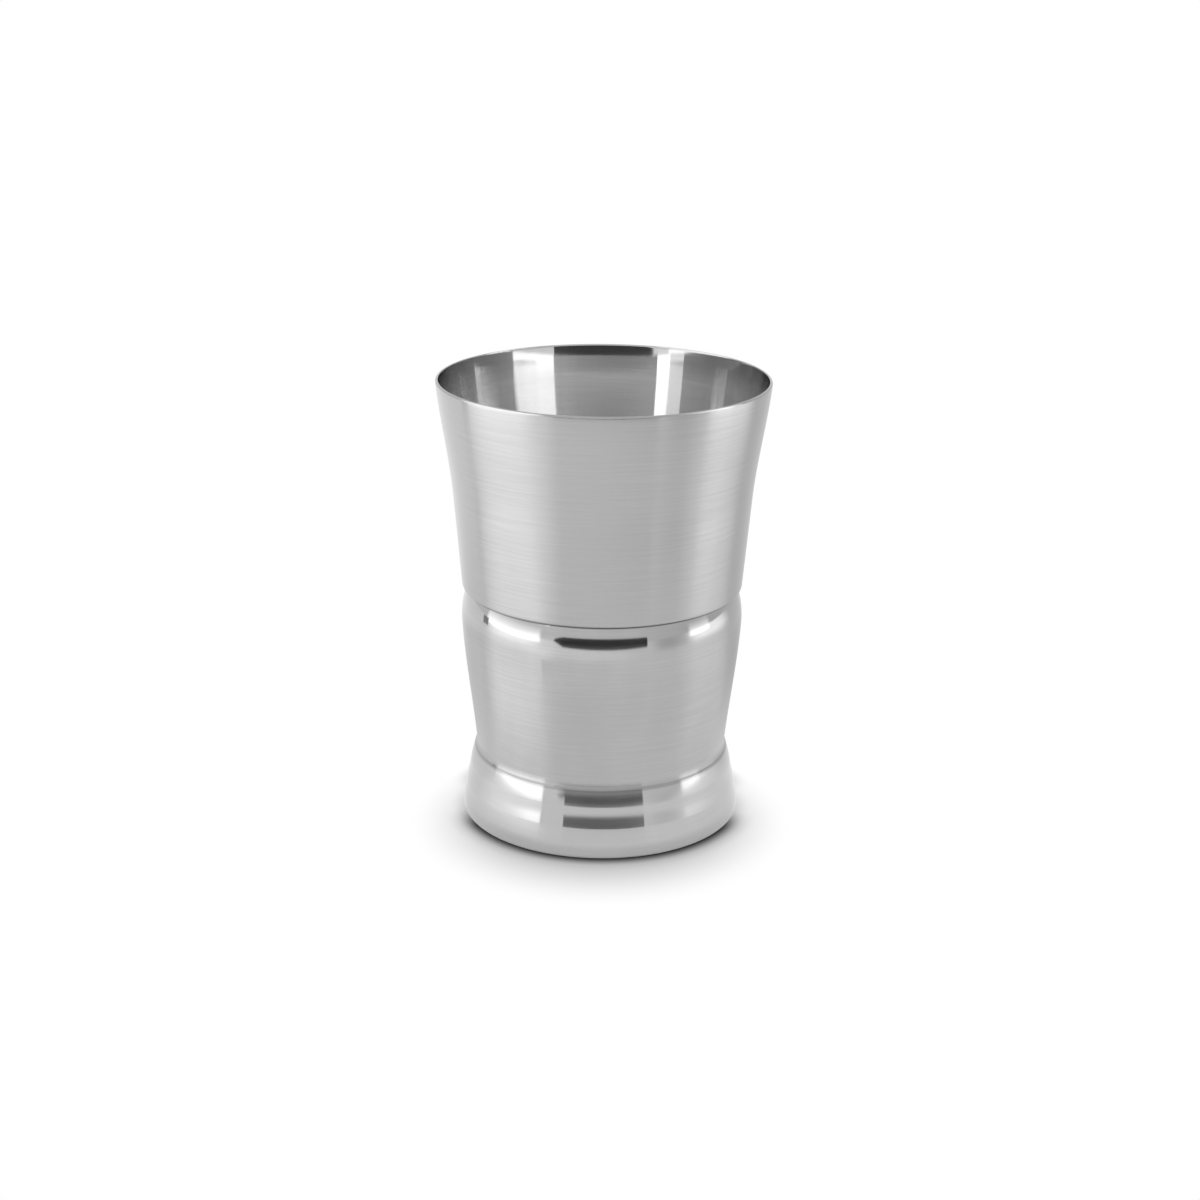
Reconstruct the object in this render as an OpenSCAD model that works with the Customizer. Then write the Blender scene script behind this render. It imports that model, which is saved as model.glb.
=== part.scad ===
// Julep cup of sheet steel: a drawn drinking bowl, a jacket round its lower half,
// a flared foot and a plate that closes the foot from below.
// The cup stands on z = 0, with its axis on Z.

/* [Overall] */
// Height of the cup, from the table to the top of the rim
cup_h = 108; // [95:0.5:125]
// Thickness of the steel sheet of every shell
sheet = 0.7; // [0.5:0.05:0.9]

/* [Drinking bowl] */
// Outside diameter at the rim
rim_d = 79; // [76:0.5:84]
// Lean of the wall at the rim, degrees from upright
rim_lean = 6; // [2:0.5:9]
// Height of the flared stretch under the rim
flare_h = 28; // [20:0.5:36]
// Lean of the straight stretch of the bare wall, degrees from upright
wall_lean = 4.8; // [3:0.1:6]
// How far the bare wall stands out past the lip of the jacket
ledge_overhang = 0.9; // [0.7:0.1:1.2]
// Inside radius of the bend between the ledge and the bare wall
ledge_bend_r = 0.5; // [0.2:0.05:0.7]
// Inside radius between the wall of the bowl and its floor
floor_corner_r = 5.3; // [3:0.1:9]
// Height of the underside of the bowl above the waist
floor_gap = 2; // [0.5:0.1:6]

/* [Jacket] */
// Height of the jacket, from the waist to the seam
jacket_h = 39.9; // [34:0.1:44]
// Largest outside diameter, which the jacket has below its shoulder and the foot near the table
body_d = 68; // [66:0.5:72]
// How far the waist draws in from that diameter, on each side
waist_depth = 3.4; // [2:0.1:5]
// Distance from the seam down to the largest diameter
belly_drop = 7; // [5:0.1:9]
// Radius of the rounded shoulder
shoulder_r = 22; // [18:0.5:30]
// Lean of the jacket at the waist, degrees from upright
waist_lean = 5.4; // [4:0.1:8]
// Air space between the jacket and the bowl, at the floor of the bowl
wall_gap = 2; // [1:0.1:4]

/* [Foot] */
// Height of the foot, from the table to the waist
foot_h = 17.4; // [14:0.2:20]
// Height of the largest diameter above the table
foot_edge_h = 2; // [1.6:0.1:3]
// Radius that turns the flare of the foot upright at the bottom
foot_turn_r = 17; // [10:0.5:22]
// Inside radius of the bend from the foot into the hem
hem_bend_r = 0.5; // [0.2:0.05:0.6]
// Width of the flat hem that the cup stands on
hem_w = 2.5; // [1.5:0.1:5]

/* [Base plate] */
// Height of the middle of the plate above its seat on the hem
recess_h = 2; // [1:0.1:5]
// Slope of the step round the recess, degrees from level
recess_slope = 35; // [20:1:60]
// Radius of the bends at the step
recess_bend_r = 1.5; // [1:0.1:3]
// Gap between the edge of the hem and the step
recess_gap = 0.8; // [0.8:0.1:3]

/* [Hidden] */
// Clear space beside the lip of the jacket and round the plate
seat_gap = 0.1;
// Radius of the fillet in the inner corner of the ledge
neck_fillet_r = 0.3;
// Largest distance between a curve and the straight steps that draw it
facet_gap = 0.01;
// Degrees that the shoulder goes on turning below the largest diameter
shoulder_turn = 3.5;
// Sides of the turned shapes on screen
round_fn = 180;
steel = "silver";

// A station is [radius, height, lean]: a point of an outline that is drawn from the axis outward and up,
// with the metal on its left. Lean 0 goes straight up, 90 goes straight out.
function spot(s) = [s[0], s[1]];
function along(lean) = [sin(lean), cos(lean)];
function lean_between(a, b) = atan2(b[0] - a[0], b[1] - a[1]);

// The same station on the other face of the sheet, and where that face is cut off level
function inner_face(s) = [s[0] - sheet * cos(s[2]), s[1] + sheet * sin(s[2]), s[2]];
function inner_cut(s) = [s[0] - sheet / cos(s[2]), s[1], s[2]];

// The two stations where a bend of radius r starts and ends, round the given corner
function bend(corner, lean_in, lean_out, r) =
    let (reach = r * tan(abs(lean_out - lean_in) / 2),
         start = corner - reach * along(lean_in),
         end = corner + reach * along(lean_out))
    [[start[0], start[1], lean_in], [end[0], end[1], lean_out]];

// Points of the smooth curve from station a up to, but not including, station b
function curve(a, b) =
    let (chord = norm(spot(b) - spot(a)),
         chord_lean = lean_between(a, b),
         turn = abs(chord_lean - a[2]) + abs(b[2] - chord_lean),
         steps = max(1, ceil(sqrt(chord * turn * PI / 180 / 8 / facet_gap))),
         reach = chord / 3 / pow(cos((b[2] - a[2]) / 4), 2),
         pull_a = spot(a) + reach * along(a[2]),
         pull_b = spot(b) - reach * along(b[2]))
    [for (i = [0 : steps - 1])
        let (t = i / steps, u = 1 - t)
        u * u * u * spot(a) + 3 * u * u * t * pull_a + 3 * u * t * t * pull_b + t * t * t * spot(b)];

// Points of the curve through all the stations of a list
function path(stations) =
    [for (i = [0 : len(stations) - 2]) each curve(stations[i], stations[i + 1]),
     spot(stations[len(stations) - 1])];

function backward(list) = [for (i = [len(list) - 1 : -1 : 0]) list[i]];

// Jacket: the shoulder is one arc, which runs on a little below the largest diameter
waist_z = foot_h;
seam_z = foot_h + jacket_h;
belly_z = seam_z - belly_drop;
waist_r = body_d / 2 - waist_depth;
shoulder_mid_r = body_d / 2 - shoulder_r;
function shoulder_station(lean) =
    [shoulder_mid_r + shoulder_r * cos(lean), belly_z - shoulder_r * sin(lean), lean];
jacket_lip = shoulder_station(-asin(belly_drop / shoulder_r));
jacket_stations = [
    [waist_r, waist_z, waist_lean],
    shoulder_station(shoulder_turn),
    shoulder_station(0),
    jacket_lip
];

// Bowl: the neck clears the jacket's lip, and the ledge lies on it
neck_r = inner_cut(jacket_lip)[0] - seat_gap - neck_fillet_r;
ledge_r = jacket_lip[0] + ledge_overhang;
bowl_floor_z = waist_z + floor_gap;
liner_floor_r = waist_r - sheet - wall_gap;
liner_lean = lean_between([liner_floor_r, bowl_floor_z], [neck_r, seam_z]);
flare_z = cup_h - flare_h;
flare_r = ledge_r + (flare_z - seam_z) * tan(wall_lean);
lip_round_r = sheet / 2;
rim_station = [rim_d / 2, cup_h - lip_round_r - lip_round_r * sin(rim_lean), rim_lean];
bowl_stations = concat(
    [[0, bowl_floor_z, 90]],
    bend([liner_floor_r, bowl_floor_z], 90, liner_lean, floor_corner_r + sheet),
    bend([neck_r, seam_z], liner_lean, 90, neck_fillet_r),
    bend([ledge_r, seam_z], 90, wall_lean, ledge_bend_r + sheet),
    [[flare_r, flare_z, wall_lean], rim_station]
);

// Foot: a straight flare that meets the turn at the bottom as a tangent, then the hem
foot_r = body_d / 2;
foot_mid = [foot_r - foot_turn_r, foot_edge_h];
waist_from_mid = [waist_r, waist_z] - foot_mid;
foot_lean = atan2(waist_from_mid[1], waist_from_mid[0]) - acos(foot_turn_r / norm(waist_from_mid));
hem_outer_bend_r = hem_bend_r + sheet;
hem_flat_r = foot_r - hem_outer_bend_r;
hem_inner_r = hem_flat_r - hem_w;
foot_stations = concat(
    [[hem_inner_r, 0, 90]],
    bend([foot_r, 0], 90, 0, hem_outer_bend_r),
    [[foot_r, foot_edge_h, 0]],
    [[foot_mid[0] + foot_turn_r * cos(foot_lean), foot_mid[1] + foot_turn_r * sin(foot_lean), -foot_lean]],
    [[waist_r, waist_z, -foot_lean]]
);

// Plate: a raised middle, a step down and a flat edge that lies on the hem
plate_r = hem_flat_r - seat_gap;
step_r = hem_inner_r - recess_gap;
step_top_r = step_r - recess_h / tan(recess_slope);
step_lean = 90 + recess_slope;
plate_stations = concat(
    [[0, sheet + recess_h, 90]],
    bend([step_top_r, sheet + recess_h], 90, step_lean, recess_bend_r),
    bend([step_r, sheet], step_lean, 90, recess_bend_r + sheet),
    [[plate_r, sheet, 90]]
);

// The other face of a sheet, square to the first face at its ends or cut off level there
function other_face(stations, level_first = false, level_last = false) =
    [for (i = [0 : len(stations) - 1])
        let (level = (i == 0 && level_first) || (i == len(stations) - 1 && level_last))
        level ? inner_cut(stations[i]) : inner_face(stations[i])];

// Closed outline of a sheet: up one face, round or across its end, and back down the other
function sheet_outline(face, other, end = []) = concat(path(face), end, backward(path(other)));

// Half round that closes the top of the rim, from its outer face to its inner face
rim_mid = spot(rim_station) - lip_round_r * along(90 + rim_lean);
rim_round = [for (lean = [75 : -15 : -75]) rim_mid + lip_round_r * along(lean)];

module turned(outline) {
    rotate_extrude($fn = round_fn)
        polygon(outline);
}

module drinking_bowl() {
    color(steel)
        turned(sheet_outline(bowl_stations, other_face(bowl_stations), rim_round));
}

module body_jacket() {
    color(steel)
        turned(sheet_outline(jacket_stations, other_face(jacket_stations, true, true)));
}

module foot_shell() {
    color(steel)
        turned(sheet_outline(foot_stations, other_face(foot_stations, false, true)));
}

module base_plate() {
    color(steel)
        turned(sheet_outline(plate_stations, other_face(plate_stations)));
}

drinking_bowl();
body_jacket();
foot_shell();
base_plate();
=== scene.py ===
import math

import bpy
from mathutils import Matrix, Vector


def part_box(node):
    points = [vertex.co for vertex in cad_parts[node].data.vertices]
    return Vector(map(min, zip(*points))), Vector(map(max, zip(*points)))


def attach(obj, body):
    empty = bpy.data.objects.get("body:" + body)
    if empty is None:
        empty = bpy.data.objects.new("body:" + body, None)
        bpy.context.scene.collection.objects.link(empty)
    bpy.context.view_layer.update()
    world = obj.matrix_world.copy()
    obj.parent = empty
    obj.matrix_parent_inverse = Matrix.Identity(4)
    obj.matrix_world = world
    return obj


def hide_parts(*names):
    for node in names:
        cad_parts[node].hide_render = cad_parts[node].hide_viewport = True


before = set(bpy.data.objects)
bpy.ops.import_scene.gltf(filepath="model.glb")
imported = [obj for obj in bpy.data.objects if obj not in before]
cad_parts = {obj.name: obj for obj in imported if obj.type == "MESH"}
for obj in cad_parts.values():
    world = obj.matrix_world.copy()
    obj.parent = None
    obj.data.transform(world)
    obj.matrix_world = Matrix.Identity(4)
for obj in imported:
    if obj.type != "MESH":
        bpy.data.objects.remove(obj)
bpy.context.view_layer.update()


# Drinking bowl: one deep-drawn sheet of stainless steel, with the rim, the bare flared wall, a small ledge
# at the seam, the liner inside the jacket and the floor. It is brushed round on a lathe outside. Its edge
# is rounded over, above a low bevel inside the rim. The jacket's lip is soldered under the ledge.
sheet = 0.0007
ring_gap = 0.001
ring_turn = 2.0
turned_sides = 256
axis_r = sheet / 100
crease_angle = math.radians(35)

bowl_low, bowl_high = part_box("drinking_bowl")
jacket_low, jacket_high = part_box("body_jacket")
cup_h = bowl_high.z
rim_r = bowl_high.x
seam_z = jacket_high.z
waist_z = jacket_low.z
body_r = jacket_high.x
bowl_floor_z = bowl_low.z


def along(lean):
    """Direction of an outline at a lean in degrees: 0 goes straight up, 90 straight out."""
    return Vector((math.sin(math.radians(lean)), math.cos(math.radians(lean))))


def lean_between(start, end):
    """Lean in degrees of the straight line from one point of an outline to another."""
    return math.degrees(math.atan2(end[0] - start[0], end[1] - start[1]))


def bend(corner, lean_in, lean_out, radius):
    """The two stations (radius, height, lean) where a bend round a corner starts and ends."""
    reach = radius * math.tan(math.radians(abs(lean_out - lean_in)) / 2)
    start = Vector(corner) - reach * along(lean_in)
    end = Vector(corner) + reach * along(lean_out)
    return [(start.x, start.y, lean_in), (end.x, end.y, lean_out)]


def curve(a, b):
    """Points of the smooth stretch from station a up to, but not including, station b."""
    start, end = Vector(a[:2]), Vector(b[:2])
    chord = (end - start).length
    chord_lean = lean_between(a, b)
    turn = abs(chord_lean - a[2]) + abs(b[2] - chord_lean)
    steps = max(math.ceil(chord / ring_gap), math.ceil(turn / ring_turn), 1)
    reach = chord / 3 / math.cos(math.radians(b[2] - a[2]) / 4) ** 2
    pull_start = start + reach * along(a[2])
    pull_end = end - reach * along(b[2])
    points = []
    for step in range(steps):
        t = step / steps
        u = 1 - t
        points.append(u**3 * start + 3 * u * u * t * pull_start + 3 * u * t * t * pull_end + t**3 * end)
    return points


def path(stations):
    """Points of the smooth outline through all the stations of a list."""
    points = []
    for a, b in zip(stations, stations[1:]):
        points += curve(a, b)
    return points + [Vector(stations[-1][:2])]


def inner_face(station):
    """The same station on the other face of the sheet."""
    radius, height, lean = station
    return (radius - sheet * along(lean).y, height + sheet * along(lean).x, lean)


def inner_cut(station):
    """The same station on the other face, where the sheet's end is cut off level."""
    radius, height, lean = station
    return (radius - sheet / along(lean).y, height, lean)


def turned_shell(name, outline):
    """A closed outline of (radius, height) points turned about the Z axis, with UVs round and along it."""
    verts, rings = [], []
    for point in outline:
        if point.x < axis_r:
            rings.append([len(verts)] * turned_sides)
            verts.append((0, 0, point.y))
            continue
        rings.append(range(len(verts), len(verts) + turned_sides))
        for side in range(turned_sides):
            angle = math.tau * side / turned_sides
            verts.append((point.x * math.cos(angle), point.x * math.sin(angle), point.y))
    run = [0.0]
    for a, b in zip(outline, outline[1:] + outline[:1]):
        run.append(run[-1] + (b - a).length)
    faces, corner_uvs = [], []
    for ring in range(len(rings)):
        low, high = rings[ring], rings[(ring + 1) % len(rings)]
        if low[0] == low[1] and high[0] == high[1]:
            continue
        for side in range(turned_sides):
            after = (side + 1) % turned_sides
            corners = [(low[side], side, ring), (low[after], side + 1, ring),
                       (high[after], side + 1, ring + 1), (high[side], side, ring + 1)]
            if low[0] == low[1]:
                del corners[1]
            if high[0] == high[1]:
                del corners[2]
            faces.append([vert for vert, _, _ in corners])
            corner_uvs += [(around / turned_sides, run[up] / run[-1]) for _, around, up in corners]
    mesh = bpy.data.meshes.new(name)
    mesh.from_pydata(verts, [], faces)
    uv_layer = mesh.uv_layers.new(name="turned")
    uv_layer.data.foreach_set("uv", [value for uv in corner_uvs for value in uv])
    mesh.polygons.foreach_set("use_smooth", [True] * len(faces))
    mesh.set_sharp_from_angle(angle=crease_angle)
    mesh.validate()
    shell = bpy.data.objects.new(name, mesh)
    bpy.context.collection.objects.link(shell)
    return shell


rim_lean = 6.0
flare_h = 0.028
wall_lean = 4.8
ledge_overhang = 0.0009
ledge_bend_r = 0.0005
floor_corner_r = 0.0053
seat_gap = 0.0001
neck_fillet_r = 0.0003
wall_gap = 0.002
belly_drop = 0.007
shoulder_r = 0.022
waist_depth = 0.0034
shoulder_lean = -math.degrees(math.asin(belly_drop / shoulder_r))
belly_z = seam_z - belly_drop
waist_r = body_r - waist_depth


def shoulder_station(lean):
    """A point of the jacket's shoulder arc, by its lean."""
    turned = along(lean)
    return (body_r - shoulder_r + shoulder_r * turned.y, belly_z - shoulder_r * turned.x, lean)


jacket_lip = shoulder_station(shoulder_lean)
neck_r = inner_cut(jacket_lip)[0] - seat_gap - neck_fillet_r
ledge_r = jacket_lip[0] + ledge_overhang
liner_floor_r = waist_r - sheet - wall_gap
liner_lean = lean_between((liner_floor_r, bowl_floor_z), (neck_r, seam_z))
flare_z = cup_h - flare_h
flare_r = ledge_r + (flare_z - seam_z) * math.tan(math.radians(wall_lean))
lip_outer_r = 0.00045
lip_inner_r = 0.00015
rim_station = (rim_r, cup_h - lip_outer_r - lip_outer_r * along(rim_lean).x, rim_lean)
bowl_stations = [
    (0, bowl_floor_z, 90),
    *bend((liner_floor_r, bowl_floor_z), 90, liner_lean, floor_corner_r + sheet),
    *bend((neck_r, seam_z), liner_lean, 90, neck_fillet_r),
    *bend((ledge_r, seam_z), 90, wall_lean, ledge_bend_r + sheet),
    (flare_r, flare_z, wall_lean),
    rim_station,
]

# The edge of the rim: a larger round outside, a level top and a smaller round inside
lip_outer_steps = 8
lip_inner_steps = 6
lip_outer_mid = Vector(rim_station[:2]) - lip_outer_r * along(90 + rim_lean)
lip_inner_z = cup_h - lip_inner_r
lip_lean_in = (lip_inner_z - rim_station[1]) * along(rim_lean).x
lip_inner_mid = Vector((rim_r + (lip_lean_in - sheet + lip_inner_r) / along(rim_lean).y, lip_inner_z))
rim_round = []
for step in range(1, lip_outer_steps + 1):
    rim_round.append(lip_outer_mid + lip_outer_r * along((90 + rim_lean) * (1 - step / lip_outer_steps)))
for step in range(lip_inner_steps):
    rim_round.append(lip_inner_mid + lip_inner_r * along((rim_lean - 90) * step / lip_inner_steps))

bevel_h = 0.0028
bevel_lean = 7.1
under_bevel_lean = 6.2
bevel_rings = 8
bevel_top = lip_inner_mid + lip_inner_r * along(rim_lean - 90)
bevel_bottom = (bevel_top[0] - bevel_h * math.tan(math.radians(bevel_lean)), bevel_top[1] - bevel_h)
inside_stations = [inner_face(station) for station in bowl_stations[:-1]]
bowl_inside = path(inside_stations + [(*bevel_bottom, under_bevel_lean)])
for ring in range(1, bevel_rings + 1):
    bowl_inside.append(Vector(bevel_bottom).lerp(bevel_top, ring / bevel_rings))
drinking_bowl = turned_shell("bowl_sheet", path(bowl_stations) + rim_round + bowl_inside[::-1])

steel_colour = (0.44, 0.44, 0.44, 1)
inside_colour = (0.61, 0.61, 0.61, 1)
satin = 0.2


def fill_inputs(tree, node, inputs):
    """Set values on, or make links to, the inputs of a node, by their names or numbers."""
    for key, value in inputs.items():
        if isinstance(value, bpy.types.NodeSocket):
            tree.links.new(value, node.inputs[key])
        else:
            node.inputs[key].default_value = value


def add_node(tree, kind, inputs=None, operation=None):
    """A new shader node with its inputs filled."""
    node = tree.nodes.new(kind)
    if operation:
        node.operation = operation
    fill_inputs(tree, node, inputs or {})
    return node


def math_node(tree, operation, *values):
    """The result of a calculation with numbers."""
    return add_node(tree, "ShaderNodeMath", dict(enumerate(values)), operation).outputs[0]


def vector_node(tree, operation, *values):
    """The result of a calculation with vectors, which is a number or a vector."""
    node = add_node(tree, "ShaderNodeVectorMath", dict(enumerate(values)), operation)
    gives_number = operation in ("LENGTH", "DISTANCE", "DOT_PRODUCT")
    return node.outputs["Value" if gives_number else "Vector"]


def scaled(tree, vector, factor):
    """The vector or colour times a number."""
    return add_node(tree, "ShaderNodeVectorMath", {0: vector, "Scale": factor}, "SCALE").outputs["Vector"]


def ranged(tree, value, start, end, low=0.0, high=1.0, smooth=False):
    """The value's way from start to end, as a number from low to high."""
    inputs = {"Value": value, "From Min": start, "From Max": end, "To Min": low, "To Max": high}
    node = add_node(tree, "ShaderNodeMapRange", inputs)
    if smooth:
        node.interpolation_type = "SMOOTHSTEP"
    return node.outputs[0]


def part_of(tree, vector, axis):
    """The X, Y or Z of a vector."""
    return add_node(tree, "ShaderNodeSeparateXYZ", {"Vector": vector}).outputs[axis]


def noise(tree, place, scale, detail):
    """Soft random values, mostly near 0.5."""
    inputs = {"Vector": place, "Scale": scale, "Detail": detail}
    return add_node(tree, "ShaderNodeTexNoise", inputs).outputs[0]


def lathe_brushing():
    """Fine lines left by brushing a turning piece, with broader bands and soft smudges over them.
    A layer has its steps of noise round the piece and per metre across the lines, and its weight."""
    band_layer = (1.2, 900.0, 0.12)
    line_layer = (2.0, 2600.0, 0.88)
    line_detail = 2.0
    smudge_steps = (90.0, 90.0, 35.0)
    smudge_detail = 3.0
    line_tone = 0.6
    smudge_tone = 0.5
    group = bpy.data.node_groups.new("lathe_brushing", "ShaderNodeTree")
    for name, start in (("Roughness", satin), ("Line Share", 0.28), ("Smudge Share", 0.2)):
        socket = group.interface.new_socket(name, in_out="INPUT", socket_type="NodeSocketFloat")
        socket.default_value = start
    group.interface.new_socket("Steel", in_out="INPUT", socket_type="NodeSocketColor")
    group.interface.new_socket("Color", in_out="OUTPUT", socket_type="NodeSocketColor")
    group.interface.new_socket("Roughness", in_out="OUTPUT", socket_type="NodeSocketFloat")
    group.interface.new_socket("Height", in_out="OUTPUT", socket_type="NodeSocketFloat")
    given = group.nodes.new("NodeGroupInput").outputs
    place = add_node(group, "ShaderNodeTexCoord").outputs["Object"]
    level = vector_node(group, "MULTIPLY", place, (1, 1, 0))
    round_way = vector_node(group, "NORMALIZE", level)
    across = math_node(group, "ADD", part_of(group, place, "Z"), vector_node(group, "LENGTH", level))
    lines = 0.0
    for round_steps, across_steps, weight in (band_layer, line_layer):
        spot = add_node(group, "ShaderNodeCombineXYZ", {
            "X": math_node(group, "MULTIPLY", part_of(group, round_way, "X"), round_steps),
            "Y": math_node(group, "MULTIPLY", part_of(group, round_way, "Y"), round_steps),
            "Z": math_node(group, "MULTIPLY", across, across_steps),
        }).outputs[0]
        layer = noise(group, spot, 1.0, line_detail)
        lines = math_node(group, "ADD", lines, math_node(group, "MULTIPLY", layer, weight))
    smudge = noise(group, vector_node(group, "MULTIPLY", place, smudge_steps), 1.0, smudge_detail)
    line_swing = math_node(group, "SUBTRACT", lines, 0.5)
    line_swing = math_node(group, "MULTIPLY", line_swing, given["Line Share"])
    smudge_swing = math_node(group, "SUBTRACT", smudge, 0.5)
    smudge_swing = math_node(group, "MULTIPLY", smudge_swing, given["Smudge Share"])
    swing = math_node(group, "ADD", math_node(group, "ADD", line_swing, smudge_swing), 1.0)
    tone = math_node(group, "ADD", math_node(group, "MULTIPLY", line_swing, line_tone), 1.0)
    tone = math_node(group, "ADD", math_node(group, "MULTIPLY", smudge_swing, smudge_tone), tone)
    add_node(group, "NodeGroupOutput", {
        "Color": scaled(group, given["Steel"], tone),
        "Roughness": math_node(group, "MULTIPLY", given["Roughness"], swing),
        "Height": lines,
    })
    return group


def painted_shade_line():
    """A level line of painted shade: puts out how much it shows at a height, 1 on the line."""
    core_share = 0.3
    group = bpy.data.node_groups.new("painted_shade_line", "ShaderNodeTree")
    for name in ("Line Height", "Half Width"):
        group.interface.new_socket(name, in_out="INPUT", socket_type="NodeSocketFloat")
    group.interface.new_socket("Mask", in_out="OUTPUT", socket_type="NodeSocketFloat")
    given = group.nodes.new("NodeGroupInput").outputs
    place = add_node(group, "ShaderNodeTexCoord").outputs["Object"]
    above = math_node(group, "SUBTRACT", part_of(group, place, "Z"), given["Line Height"])
    share = math_node(group, "DIVIDE", math_node(group, "ABSOLUTE", above), given["Half Width"])
    add_node(group, "NodeGroupOutput", {"Mask": ranged(group, share, 1.0, core_share, smooth=True)})
    return group


brushing = lathe_brushing()
shade_line_group = painted_shade_line()


def add_group(tree, group, inputs):
    """A new node that runs a shared group, with its inputs filled."""
    node = tree.nodes.new("ShaderNodeGroup")
    node.node_tree = group
    fill_inputs(tree, node, inputs)
    return node


def shade_line_mask(tree, height, half_width):
    """Where the painted shade line at a height shows."""
    return add_group(tree, shade_line_group, {"Line Height": height, "Half Width": half_width}).outputs["Mask"]


def shaded(tree, colour, mask, depth):
    """The colour, darker by depth where the mask is 1."""
    keep = math_node(tree, "SUBTRACT", 1.0, math_node(tree, "MULTIPLY", mask, depth))
    return scaled(tree, colour, keep)


def steel_material(name):
    """A new metal material, its node tree and its shader."""
    material = bpy.data.materials.new(name)
    material.use_nodes = True
    shader = material.node_tree.nodes["Principled BSDF"]
    shader.inputs["Metallic"].default_value = 1.0
    return material, material.node_tree, shader


def brush_round(shader):
    """Stretch the highlights across the brushing, which runs round the cup's axis."""
    shader.inputs["Anisotropic"].default_value = 1.0
    shader.inputs["Anisotropic Rotation"].default_value = 0.25


# The bowl's steel: satin outside, brighter inside and brightest in a band under the rim. Drawing the sheet
# has left faint upright waves inside. wave_times is their height over that of the brushing's lines.
inside_facing = -0.01
outside_facing = 0.02
bright_from_z = cup_h - 0.008
bright_full_z = cup_h - 0.003
inside_rough = 0.09
bright_rough = 0.035
inside_metal = 0.86
bowl_smudges = 0.15
# Painted shade: a dark line along the seam under the ledge, and one along the rim's edge that is darker on
# its inner side
seam_shade_w = 0.0004
seam_shade_depth = 0.75
rim_edge_shade_w = 0.0007
rim_edge_shade_depth = 0.05
rim_inside_shade_depth = 0.2
wave_from_z = bowl_floor_z + 0.004
wave_full_z = bowl_floor_z + 0.014
wave_steps = 7.0
wave_detail = 2.0
wave_times = 25.0
line_relief = 0.000003
bowl_steel, tree, shader = steel_material("brushed_bowl_steel")
brush_round(shader)
place = add_node(tree, "ShaderNodeTexCoord").outputs
level = vector_node(tree, "MULTIPLY", place["Object"], (1, 1, 0))
facing = vector_node(tree, "DOT_PRODUCT", level, place["Normal"])
outside = ranged(tree, facing, inside_facing, outside_facing)
inside = math_node(tree, "SUBTRACT", 1.0, outside)
height = part_of(tree, place["Object"], "Z")
rough = ranged(tree, height, bright_from_z, bright_full_z, inside_rough, bright_rough)
metal = ranged(tree, height, bright_from_z, bright_full_z, inside_metal, 1.0)
bowl_colour = add_node(tree, "ShaderNodeMix", {0: outside, 6: inside_colour, 7: steel_colour})
bowl_colour.data_type = "RGBA"
bowl_finish = add_group(tree, brushing, {
    "Steel": bowl_colour.outputs[2],
    "Roughness": ranged(tree, outside, 0.0, 1.0, rough, satin),
    "Smudge Share": bowl_smudges,
}).outputs
# Painted shade along the seam and along the rim's edge
seam_shade_mask = math_node(tree, "MULTIPLY", shade_line_mask(tree, seam_z, seam_shade_w), outside)
bowl_tone = shaded(tree, bowl_finish["Color"], seam_shade_mask, seam_shade_depth)
rim_shade_amount = ranged(tree, outside, 0.0, 1.0, rim_inside_shade_depth, rim_edge_shade_depth)
bowl_tone = shaded(tree, bowl_tone, shade_line_mask(tree, cup_h, rim_edge_shade_w), rim_shade_amount)
waves = noise(tree, vector_node(tree, "NORMALIZE", level), wave_steps, wave_detail)
wave_height = math_node(tree, "MULTIPLY", waves, math_node(tree, "MULTIPLY", inside, wave_times))
wave_height = math_node(tree, "MULTIPLY", wave_height, ranged(tree, height, wave_from_z, wave_full_z))
line_height = math_node(tree, "MULTIPLY", bowl_finish["Height"], outside)
relief = add_node(tree, "ShaderNodeBump", {
    "Strength": 1.0,
    "Distance": line_relief,
    "Height": math_node(tree, "ADD", line_height, wave_height),
}).outputs[0]
tree.links.new(bowl_tone, shader.inputs["Base Color"])
tree.links.new(ranged(tree, outside, 0.0, 1.0, metal, 1.0), shader.inputs["Metallic"])
tree.links.new(bowl_finish["Roughness"], shader.inputs["Roughness"])
tree.links.new(relief, shader.inputs["Normal"])
drinking_bowl.data.materials.append(bowl_steel)
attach(drinking_bowl, "root")
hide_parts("drinking_bowl")


# Jacket: the outer shell of the lower half, spun from the same sheet. Its rounded shoulder is polished
# bright, and the tapering body below is brushed like the bowl. Its lip curls in and is soldered under the
# bowl's ledge. Below the waist it turns out again, as a short skirt that is soldered to the foot.
shoulder_turn = 3.5
waist_lean = 5.4
joint_drop = 0.0012
skirt_lean = -24.0
waist_bend_r = 0.004
joint_z = waist_z - joint_drop
joint_r = waist_r - joint_drop * math.tan(math.radians(skirt_lean))
curl_lean = -12.5
lip_lean = -24.0
shoulder_drop = Vector((0, -0.00045, 0))
curl_start = Vector(shoulder_station(curl_lean)) + shoulder_drop
curl_r = (seam_z - curl_start[1]) / (along(curl_lean).x - along(lip_lean).x)
lip_station = (curl_start[0] - curl_r * (along(curl_lean).y - along(lip_lean).y), seam_z, lip_lean)
jacket_stations = [
    (joint_r, joint_z, skirt_lean),
    *bend((waist_r, waist_z), skirt_lean, waist_lean, waist_bend_r),
    tuple(Vector(shoulder_station(shoulder_turn)) + shoulder_drop),
    tuple(Vector(shoulder_station(0)) + shoulder_drop),
    tuple(curl_start),
    lip_station,
]
inside_stations = [inner_face(station) for station in jacket_stations]
inside_stations[0] = inner_cut(jacket_stations[0])
inside_stations[-1] = inner_cut(lip_station)
body_jacket = turned_shell("jacket_sheet", path(jacket_stations) + path(inside_stations)[::-1])

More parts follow.
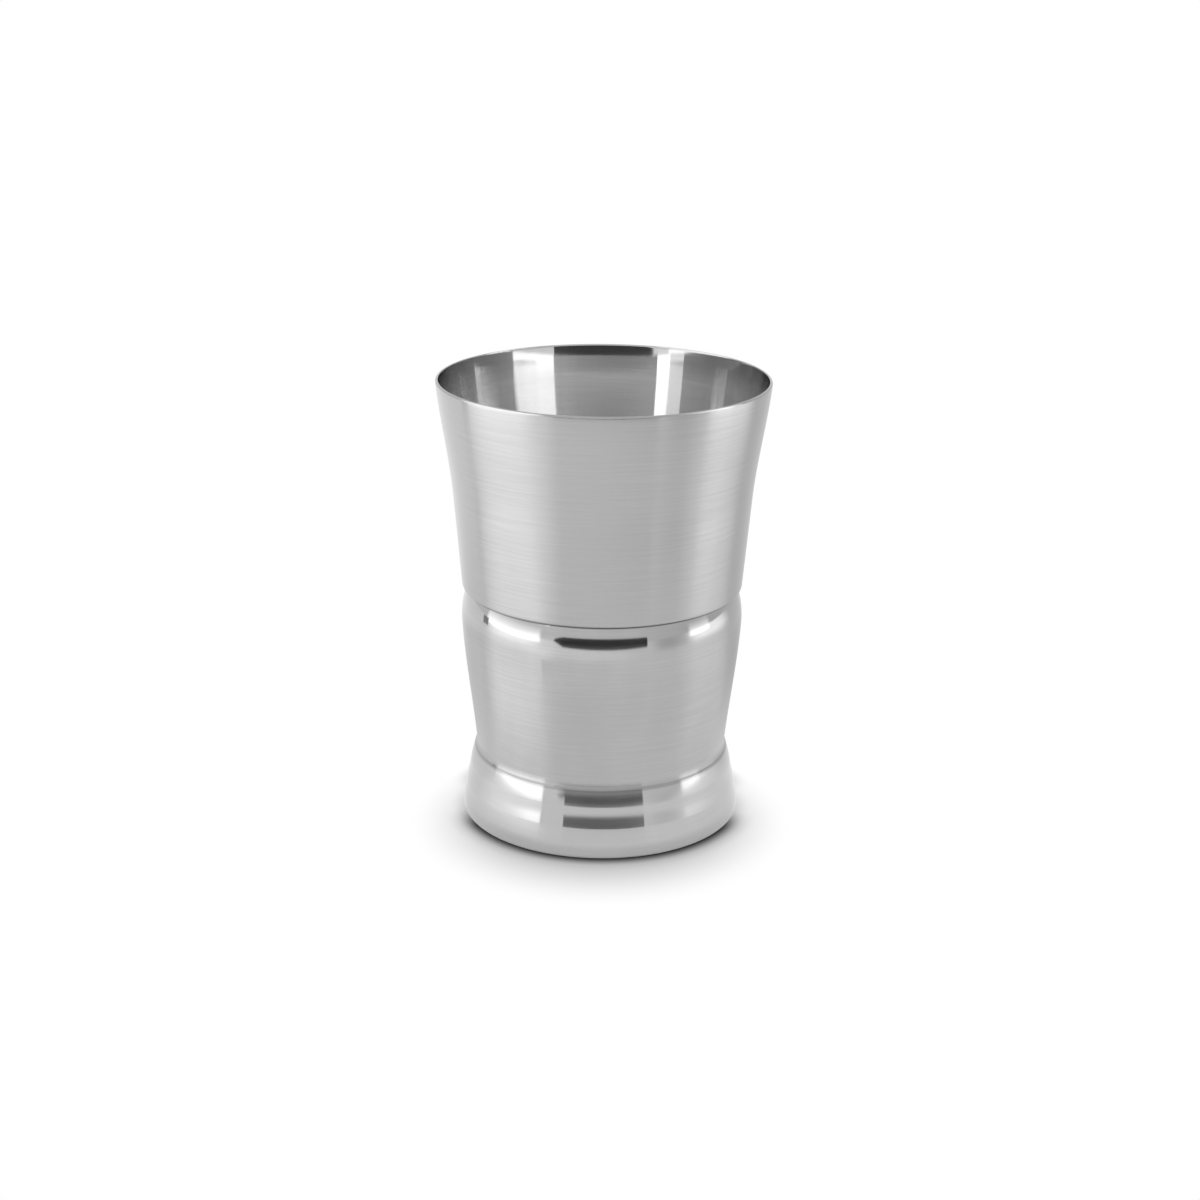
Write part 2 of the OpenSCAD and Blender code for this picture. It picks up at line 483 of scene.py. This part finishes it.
satin_to_z = belly_z - 0.012
polish_from_z = belly_z + 0.001
shoulder_rough = 0.06
jacket_smudges = 0.45
# Painted shade: dark lines along the seam under the bowl's ledge and along the joint with the foot
joint_shade_w = 0.0007
joint_shade_depth = 0.25
jacket_steel, tree, shader = steel_material("brushed_jacket_steel")
brush_round(shader)
height = part_of(tree, add_node(tree, "ShaderNodeTexCoord").outputs["Object"], "Z")
jacket_finish = add_group(tree, brushing, {
    "Steel": steel_colour,
    "Roughness": ranged(tree, height, satin_to_z, polish_from_z, satin, shoulder_rough, smooth=True),
    "Smudge Share": jacket_smudges,
}).outputs
jacket_tone = shaded(tree, jacket_finish["Color"], shade_line_mask(tree, seam_z, seam_shade_w), seam_shade_depth)
jacket_tone = shaded(tree, jacket_tone, shade_line_mask(tree, joint_z, joint_shade_w), joint_shade_depth)
tree.links.new(jacket_tone, shader.inputs["Base Color"])
tree.links.new(jacket_finish["Roughness"], shader.inputs["Roughness"])
body_jacket.data.materials.append(jacket_steel)
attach(body_jacket, "root")
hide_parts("body_jacket")


# Foot: a spun flare of the same sheet, polished bright, with two shallow beads. It is soldered to the jacket
# just below the waist, and its lower edge is turned in as the flat hem that the cup stands on.
foot_edge_h = 0.002
hem_bend_r = 0.0005
hem_w = 0.0025
hem_outer_r = 0.0006
hem_flat_r = body_r - hem_bend_r - sheet
hem_inner_r = hem_flat_r - hem_w
flare_top_lean = -17.0
upper_bead = [(0.01245, -12.3), (0.0122, -9.6), (0.0111, -9.6), (0.0094, -13.8)]
lower_bead = [(0.00745, -13.9), (0.0072, -10.8), (0.0037, -9.5), (foot_edge_h, 0.0)]
flare_stations = [(joint_r, joint_z, flare_top_lean)]
for bead_z, lean in upper_bead + lower_bead:
    last_r, last_z, last_lean = flare_stations[-1]
    chord_lean = math.radians((lean + last_lean) / 2)
    flare_stations.append((last_r + (bead_z - last_z) * math.tan(chord_lean), bead_z, lean))
foot_r = flare_stations[-1][0]
hem_stations = [(hem_inner_r, 0, 90), *bend((foot_r, 0), 90, 0, hem_outer_r)]
foot_stations = hem_stations + flare_stations[::-1]
inside_stations = [
    (foot_r - sheet, sheet, 0),
    inner_face(flare_stations[-2]),
    inner_cut(flare_stations[0]),
]
foot_inside = [Vector((hem_inner_r, sheet))] + path(inside_stations)
foot_shell = turned_shell("foot_sheet", path(foot_stations) + foot_inside[::-1])

foot_colour = (0.495, 0.495, 0.495, 1)
foot_rough = 0.09
foot_lines = 0.15
foot_steel, tree, shader = steel_material("polished_foot_steel")
brush_round(shader)
foot_finish = add_group(tree, brushing, {
    "Steel": foot_colour,
    "Roughness": foot_rough,
    "Line Share": foot_lines,
}).outputs
# Painted shade along the joint with the jacket
foot_tone = shaded(tree, foot_finish["Color"], shade_line_mask(tree, joint_z, joint_shade_w), joint_shade_depth)
tree.links.new(foot_tone, shader.inputs["Base Color"])
tree.links.new(foot_finish["Roughness"], shader.inputs["Roughness"])
foot_shell.data.materials.append(foot_steel)
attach(foot_shell, "root")
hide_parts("foot_shell")


# Base plate: a disc pressed from the same sheet, with a raised middle, and turned to a satin finish. It
# closes the foot from below, and its flat edge is soldered on top of the hem.
recess_h = 0.002
recess_slope = 35.0
recess_bend_r = 0.0015
recess_gap = 0.0008
plate_r = hem_flat_r - seat_gap
step_r = hem_inner_r - recess_gap
step_top_r = step_r - recess_h / math.tan(math.radians(recess_slope))
step_lean = 90 + recess_slope
plate_stations = [
    (0, sheet + recess_h, 90),
    *bend((step_top_r, sheet + recess_h), 90, step_lean, recess_bend_r),
    *bend((step_r, sheet), step_lean, 90, recess_bend_r + sheet),
    (plate_r, sheet, 90),
]
inside_stations = [inner_face(station) for station in plate_stations]
base_plate = turned_shell("plate_sheet", path(plate_stations) + path(inside_stations)[::-1])

plate_steel, tree, shader = steel_material("turned_plate_steel")
plate_finish = add_group(tree, brushing, {"Steel": steel_colour}).outputs
tree.links.new(plate_finish["Color"], shader.inputs["Base Color"])
tree.links.new(plate_finish["Roughness"], shader.inputs["Roughness"])
base_plate.data.materials.append(plate_steel)
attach(base_plate, "root")
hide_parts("base_plate")


# Stage, the table: a white top that keeps the cup's shadow near the foot and runs out to plain white. For
# the
# camera that shadow is partly painted: the paper is painted darker near the foot, darkest at the line of
# contact.
# The steel sees a little brighter or dimmer patches painted on it in some directions, for the lamps of a
# studio.
white = (1, 1, 1, 1)
table_r = 8.0
shadow_from = 0.018
shadow_to = 0.0475
shadow_mid = (0, -0.0115, 0)
# Painted shadow: for the camera the paper is painted grey near the foot, darkest at the line of contact
contact_from = 0.0336
contact_to = 0.0378
contact_edge = 0.0405
contact_shadow_grey = 0.05
paper_shadow_grey = 0.5
unseen_grey = 0.9
side_share = 0.16
front_share = 0.5


def stage_sheet(name, corners, faces, material):
    """A flat piece of the stage, from its corners and faces."""
    mesh = bpy.data.meshes.new(name)
    mesh.from_pydata(corners, [], faces)
    mesh.materials.append(material)
    piece = bpy.data.objects.new(name, mesh)
    bpy.context.collection.objects.link(piece)
    return piece


def way_out(azimuth):
    """Level direction at an azimuth in degrees: 0 is toward the camera's side, 90 to the right."""
    turn = math.radians(azimuth)
    return Vector((math.sin(turn), -math.cos(turn), 0))


table_white = bpy.data.materials.new("table_white")
table_white.use_nodes = True
tree = table_white.node_tree
tree.nodes.clear()
place = add_node(tree, "ShaderNodeTexCoord").outputs["Object"]
foot_reach = vector_node(tree, "LENGTH", place)
shadow_reach = vector_node(tree, "DISTANCE", place, shadow_mid)
ray = add_node(tree, "ShaderNodeLightPath").outputs
camera_ray = ray["Is Camera Ray"]
steel_ray = math_node(tree, "MAXIMUM", ray["Is Glossy Ray"], ray["Is Transmission Ray"])
seen = math_node(tree, "MAXIMUM", camera_ray, steel_ray)


def lit_patch(azimuth, full_angle, end_angle, starts, full_from, level):
    """How much brighter or dimmer than plain white the table is painted for the steel in one direction, from
    a distance on.
    """
    toward = vector_node(tree, "DOT_PRODUCT", vector_node(tree, "NORMALIZE", place), way_out(azimuth))
    end_cosine = math.cos(math.radians(end_angle))
    full_cosine = math.cos(math.radians(full_angle))
    fan = ranged(tree, toward, end_cosine, full_cosine, smooth=True)
    outward = ranged(tree, foot_reach, starts, full_from, high=level, smooth=True)
    return math_node(tree, "MULTIPLY", fan, outward)


# Each patch, as lit_patch takes it: its azimuth, the angles off that where it is full and where it ends,
# the distances from the axis where it starts and where it is full, and its level.
left_patches = [
    (-67, 0, 38, 0.03, 0.08, 0.22),
    (-68, 0, 36, 0.05, 0.085, 0.14),
    (-68, 0, 36, 0.2, 0.35, -0.14),
    (-75, 0, 31, 0.18, 0.4, 0.66),
    (-120, 0, 60, 0.12, 0.25, 0.16),
]
front_patches = [
    (-30, 0, 65, 0.12, 0.22, 0.18),
    (57, 0, 20, 0.15, 0.4, -0.3),
]
right_patches = [
    (87, 0, 32, 0.05, 0.13, 0.22),
    (95, 0, 28, 0.2, 0.4, 0.75),
]
back_patches = [
    (140, 10, 60, 0.05, 0.12, -0.16),
    (180, 30, 75, 0.03, 0.06, -0.22),
    (180, 30, 75, 0.1, 0.2, 0.16),
]
patches = 0.0
for patch in left_patches + front_patches + right_patches + back_patches:
    patches = math_node(tree, "ADD", patches, lit_patch(*patch))
mirrored = math_node(tree, "SUBTRACT", 1.0, camera_ray)
table_level = math_node(tree, "ADD", 1.0, math_node(tree, "MULTIPLY", patches, mirrored))
plain = add_node(tree, "ShaderNodeEmission", {"Color": white, "Strength": table_level}).outputs[0]
# For the camera the paper near the foot is painted darker, a painted shadow over its real one
contact = ranged(tree, foot_reach, contact_from, contact_to, contact_shadow_grey, paper_shadow_grey, smooth=True)
contact = ranged(tree, camera_ray, 0.0, 1.0, unseen_grey, contact)
paper = add_node(tree, "ShaderNodeBsdfDiffuse", {"Color": contact}).outputs[0]

# Painted shadow: the line of contact is painted dark in front and behind, and fades at the cup's left and
# right
edge = ranged(tree, foot_reach, contact_edge, contact_from, smooth=True)
ahead = math_node(tree, "DIVIDE", part_of(tree, place, "Y"), foot_reach)
ahead = ranged(tree, math_node(tree, "ABSOLUTE", ahead), side_share, front_share, smooth=True)
painted_edge_shadow = math_node(tree, "MULTIPLY", math_node(tree, "MULTIPLY", edge, ahead), camera_ray)
far = ranged(tree, shadow_reach, shadow_from, shadow_to, smooth=True)
whiteness = math_node(tree, "MULTIPLY", far, math_node(tree, "SUBTRACT", 1.0, painted_edge_shadow))
under_cup = math_node(tree, "LESS_THAN", foot_reach, contact_from)
under_cup = math_node(tree, "MULTIPLY", under_cup, ray["Is Glossy Ray"])
whiteness = math_node(tree, "MULTIPLY", math_node(tree, "MAXIMUM", whiteness, under_cup), seen)
top = add_node(tree, "ShaderNodeMixShader", {0: whiteness, 1: paper, 2: plain}).outputs[0]
clear = add_node(tree, "ShaderNodeBsdfTransparent").outputs[0]
from_below = add_node(tree, "ShaderNodeNewGeometry").outputs["Backfacing"]
both = add_node(tree, "ShaderNodeMixShader", {0: from_below, 1: top, 2: clear}).outputs[0]
add_node(tree, "ShaderNodeOutputMaterial", {"Surface": both})
table_corners = [(-table_r, -table_r, 0), (table_r, -table_r, 0),
                 (table_r, table_r, 0), (-table_r, table_r, 0)]
table_top = stage_sheet("table_top", table_corners, [(0, 1, 2, 3)], table_white)


# Stage, the dark card: it lies on the table below the lens and turns up at its far end, behind the camera.
# Only the steel sees it. It gives the dark bars on the shoulder and the foot.
card_z = 0.001
edge_y = -0.44
edge_left = -0.25
edge_right = 0.31
card_y = -1.9
card_left = -1.4
card_right = 1.39
tip_left = -1.5
tip_h = 0.03
side_left = -1.41
side_h = 0.17
top_left = -1.1
card_h = 0.3
card_grey = 0.105


def matt_grey(name, grey):
    """A plain grey material without gloss."""
    material = bpy.data.materials.new(name)
    material.use_nodes = True
    shader = material.node_tree.nodes["Principled BSDF"]
    shader.inputs["Specular IOR Level"].default_value = 0
    shader.inputs["Base Color"].default_value = (grey, grey, grey, 1)
    return material


lying_corners = [(edge_left, edge_y, card_z), (edge_right, edge_y, card_z),
                 (card_right, card_y, card_z), (card_left, card_y, card_z)]
upright_corners = [(card_right, card_y, card_h), (top_left, card_y, card_h),
                   (side_left, card_y, side_h), (tip_left, card_y, tip_h)]
card_faces = [(0, 1, 2, 3), (3, 2, 4, 5, 6, 7)]
card_black = matt_grey("card_black", card_grey)
dark_card = stage_sheet("dark_card", lying_corners + upright_corners, card_faces, card_black)
dark_card.visible_camera = False


# Stage, the pale card: a low glowing card that stands close to the cup. Only the steel sees it. It covers
# the left ends of the dark bars on the foot, which are shorter than the bar on the shoulder.
trim_distance = 0.1
trim_from = -42
trim_to = -25.4
trim_h = 0.018
trim_level = 1.0


def upright(left, right, height):
    """Corners of a card that stands upright on the table, from its left foot to its right foot."""
    up = Vector((0, 0, height))
    return [left, right, right + up, left + up]


card_pale = bpy.data.materials.new("card_pale")
card_pale.use_nodes = True
tree = card_pale.node_tree
tree.nodes.clear()
glow = add_node(tree, "ShaderNodeEmission", {"Color": white, "Strength": trim_level}).outputs[0]
add_node(tree, "ShaderNodeOutputMaterial", {"Surface": glow})
trim_corners = upright(way_out(trim_from) * trim_distance, way_out(trim_to) * trim_distance, trim_h)
pale_card = stage_sheet("pale_card", trim_corners, [(0, 1, 2, 3)], card_pale)
pale_card.visible_camera = False


# Stage, the stand: a small grey card at the end of the left lamps. Only the steel sees it. It gives the
# small ticks on the left of the shoulder and the foot.
stand_w = 0.048
stand_distance = 0.4
stand_h = 0.048
stand_azimuth = -103
stand_level = 0.5
stand_mid = way_out(stand_azimuth) * stand_distance
stand_side = way_out(stand_azimuth + 90) * stand_w / 2
stand_corners = upright(stand_mid - stand_side, stand_mid + stand_side, stand_h)
stand_grey = matt_grey("stand_grey", stand_level)
left_stand = stage_sheet("left_stand", stand_corners, [(0, 1, 2, 3)], stand_grey)
left_stand.visible_camera = False


# Stage, the lamps: upright soft boxes on the left and the right of the cup, which the camera doesn't see.
# They give the bright panels inside the bowl, on the shoulder and on the foot.
def soft_box(name, azimuth, half_angle, distance, low, high, strength, side_fade=0.02, fade_power=0.0):
    """A lamp panel that faces the cup, with soft sides and, where asked, a dimmer upper part."""
    panel_mid = 0.5
    fade_from = 0.25
    out = way_out(azimuth)
    lamp = bpy.data.lights.new(name, "AREA")
    lamp.shape = "RECTANGLE"
    lamp.size = 2 * distance * math.tan(math.radians(half_angle))
    lamp.size_y = high - low
    lamp.energy = strength * math.pi * lamp.size * lamp.size_y
    lamp.use_nodes = True
    tree = lamp.node_tree
    panel = add_node(tree, "ShaderNodeNewGeometry").outputs["Parametric"]
    from_mid = math_node(tree, "SUBTRACT", part_of(tree, panel, "X"), panel_mid)
    from_mid = math_node(tree, "ABSOLUTE", from_mid)
    sides = ranged(tree, from_mid, panel_mid, panel_mid - side_fade, smooth=True)
    upper = math_node(tree, "POWER", ranged(tree, part_of(tree, panel, "Y"), 1.0, fade_from), fade_power)
    tree.links.new(math_node(tree, "MULTIPLY", sides, upper), tree.nodes["Emission"].inputs["Strength"])
    holder = bpy.data.objects.new(name, lamp)
    holder.location = out * distance + Vector((0, 0, (low + high) / 2))
    holder.rotation_mode = "QUATERNION"
    holder.rotation_quaternion = (-out).to_track_quat("-Z", "Y")
    holder.visible_camera = False
    bpy.context.collection.objects.link(holder)


box_size = {"distance": 0.25, "low": 0.165, "high": 0.36}
soft_box("left_box", azimuth=-74.5, half_angle=32.5, strength=2.1, **box_size)
soft_box("right_box", azimuth=90.5, half_angle=10.5, strength=3.0, **box_size)
soft_box("right_front_box", azimuth=70.5, half_angle=9.5, strength=1.3, **box_size)
soft_box("left_low_box", azimuth=-76, half_angle=29, distance=0.6, low=0.0, high=0.26, strength=1.2,
         side_fade=0.08, fade_power=1.4)
soft_box("right_low_box", azimuth=83, half_angle=13, distance=0.6, low=0.0, high=0.22, strength=1.1,
         side_fade=0.2, fade_power=1.6)


# Stage, the room: the camera sees it plain white. The steel sees it a little brighter on the left and, at
# first, in front. After a second bounce, as inside the bowl, it sees it dimmer in front and behind.
fill_level = 0.8
steel_level = 0.86
left_gain = (-0.11, 0.0, 0)
front_gain = 0.1
front_gain_deep = -0.5
back_gain_deep = -0.32
second_bounce = 1.5
world = bpy.data.worlds.new("white_room")
bpy.context.scene.world = world
world.use_nodes = True
tree = world.node_tree
ray = add_node(tree, "ShaderNodeLightPath").outputs
way = add_node(tree, "ShaderNodeTexCoord").outputs["Generated"]
deep = math_node(tree, "GREATER_THAN", ray["Glossy Depth"], second_bounce)
steel_sees = math_node(tree, "ADD", vector_node(tree, "DOT_PRODUCT", way, left_gain), steel_level)
steel_sees = math_node(tree, "MINIMUM", steel_sees, 1.0)
way_y = part_of(tree, way, "Y")
back = math_node(tree, "MAXIMUM", way_y, 0.0)
back_change = math_node(tree, "MULTIPLY", math_node(tree, "MULTIPLY", back, deep), back_gain_deep)
steel_sees = math_node(tree, "ADD", steel_sees, back_change)
front = math_node(tree, "MAXIMUM", math_node(tree, "MULTIPLY", way_y, -1.0), 0.0)
front_change = ranged(tree, deep, 0.0, 1.0, front_gain, front_gain_deep)
front_change = math_node(tree, "MULTIPLY", front, front_change)
steel_sees = math_node(tree, "ADD", steel_sees, front_change)
mirrored = math_node(tree, "MAXIMUM", ray["Is Glossy Ray"], ray["Is Transmission Ray"])
room_level = ranged(tree, mirrored, 0.0, 1.0, fill_level, steel_sees)
room_level = ranged(tree, ray["Is Camera Ray"], 0.0, 1.0, room_level, 1.0)
room = tree.nodes["Background"]
room.inputs["Color"].default_value = white
tree.links.new(room_level, room.inputs["Strength"])


# Camera: at the photo's viewing angle, above the rim and close, with the slight roll that the photo has.
camera = bpy.data.cameras.new("camera")
camera.sensor_width = 36
camera.lens = 60.236
camera_place = Matrix.Translation((-0.000465, -0.4622, 0.21047))
camera_pitch = 0.32849
camera_roll = 0.00896
tilt = Matrix.Rotation(math.pi / 2 - camera_pitch, 4, "X")
roll = Matrix.Rotation(camera_roll, 4, "Z")
holder = bpy.data.objects.new("camera", camera)
holder.matrix_world = camera_place @ tilt @ roll
bpy.context.collection.objects.link(holder)
bpy.context.scene.camera = holder
bpy.context.scene.view_settings.view_transform = "Standard"
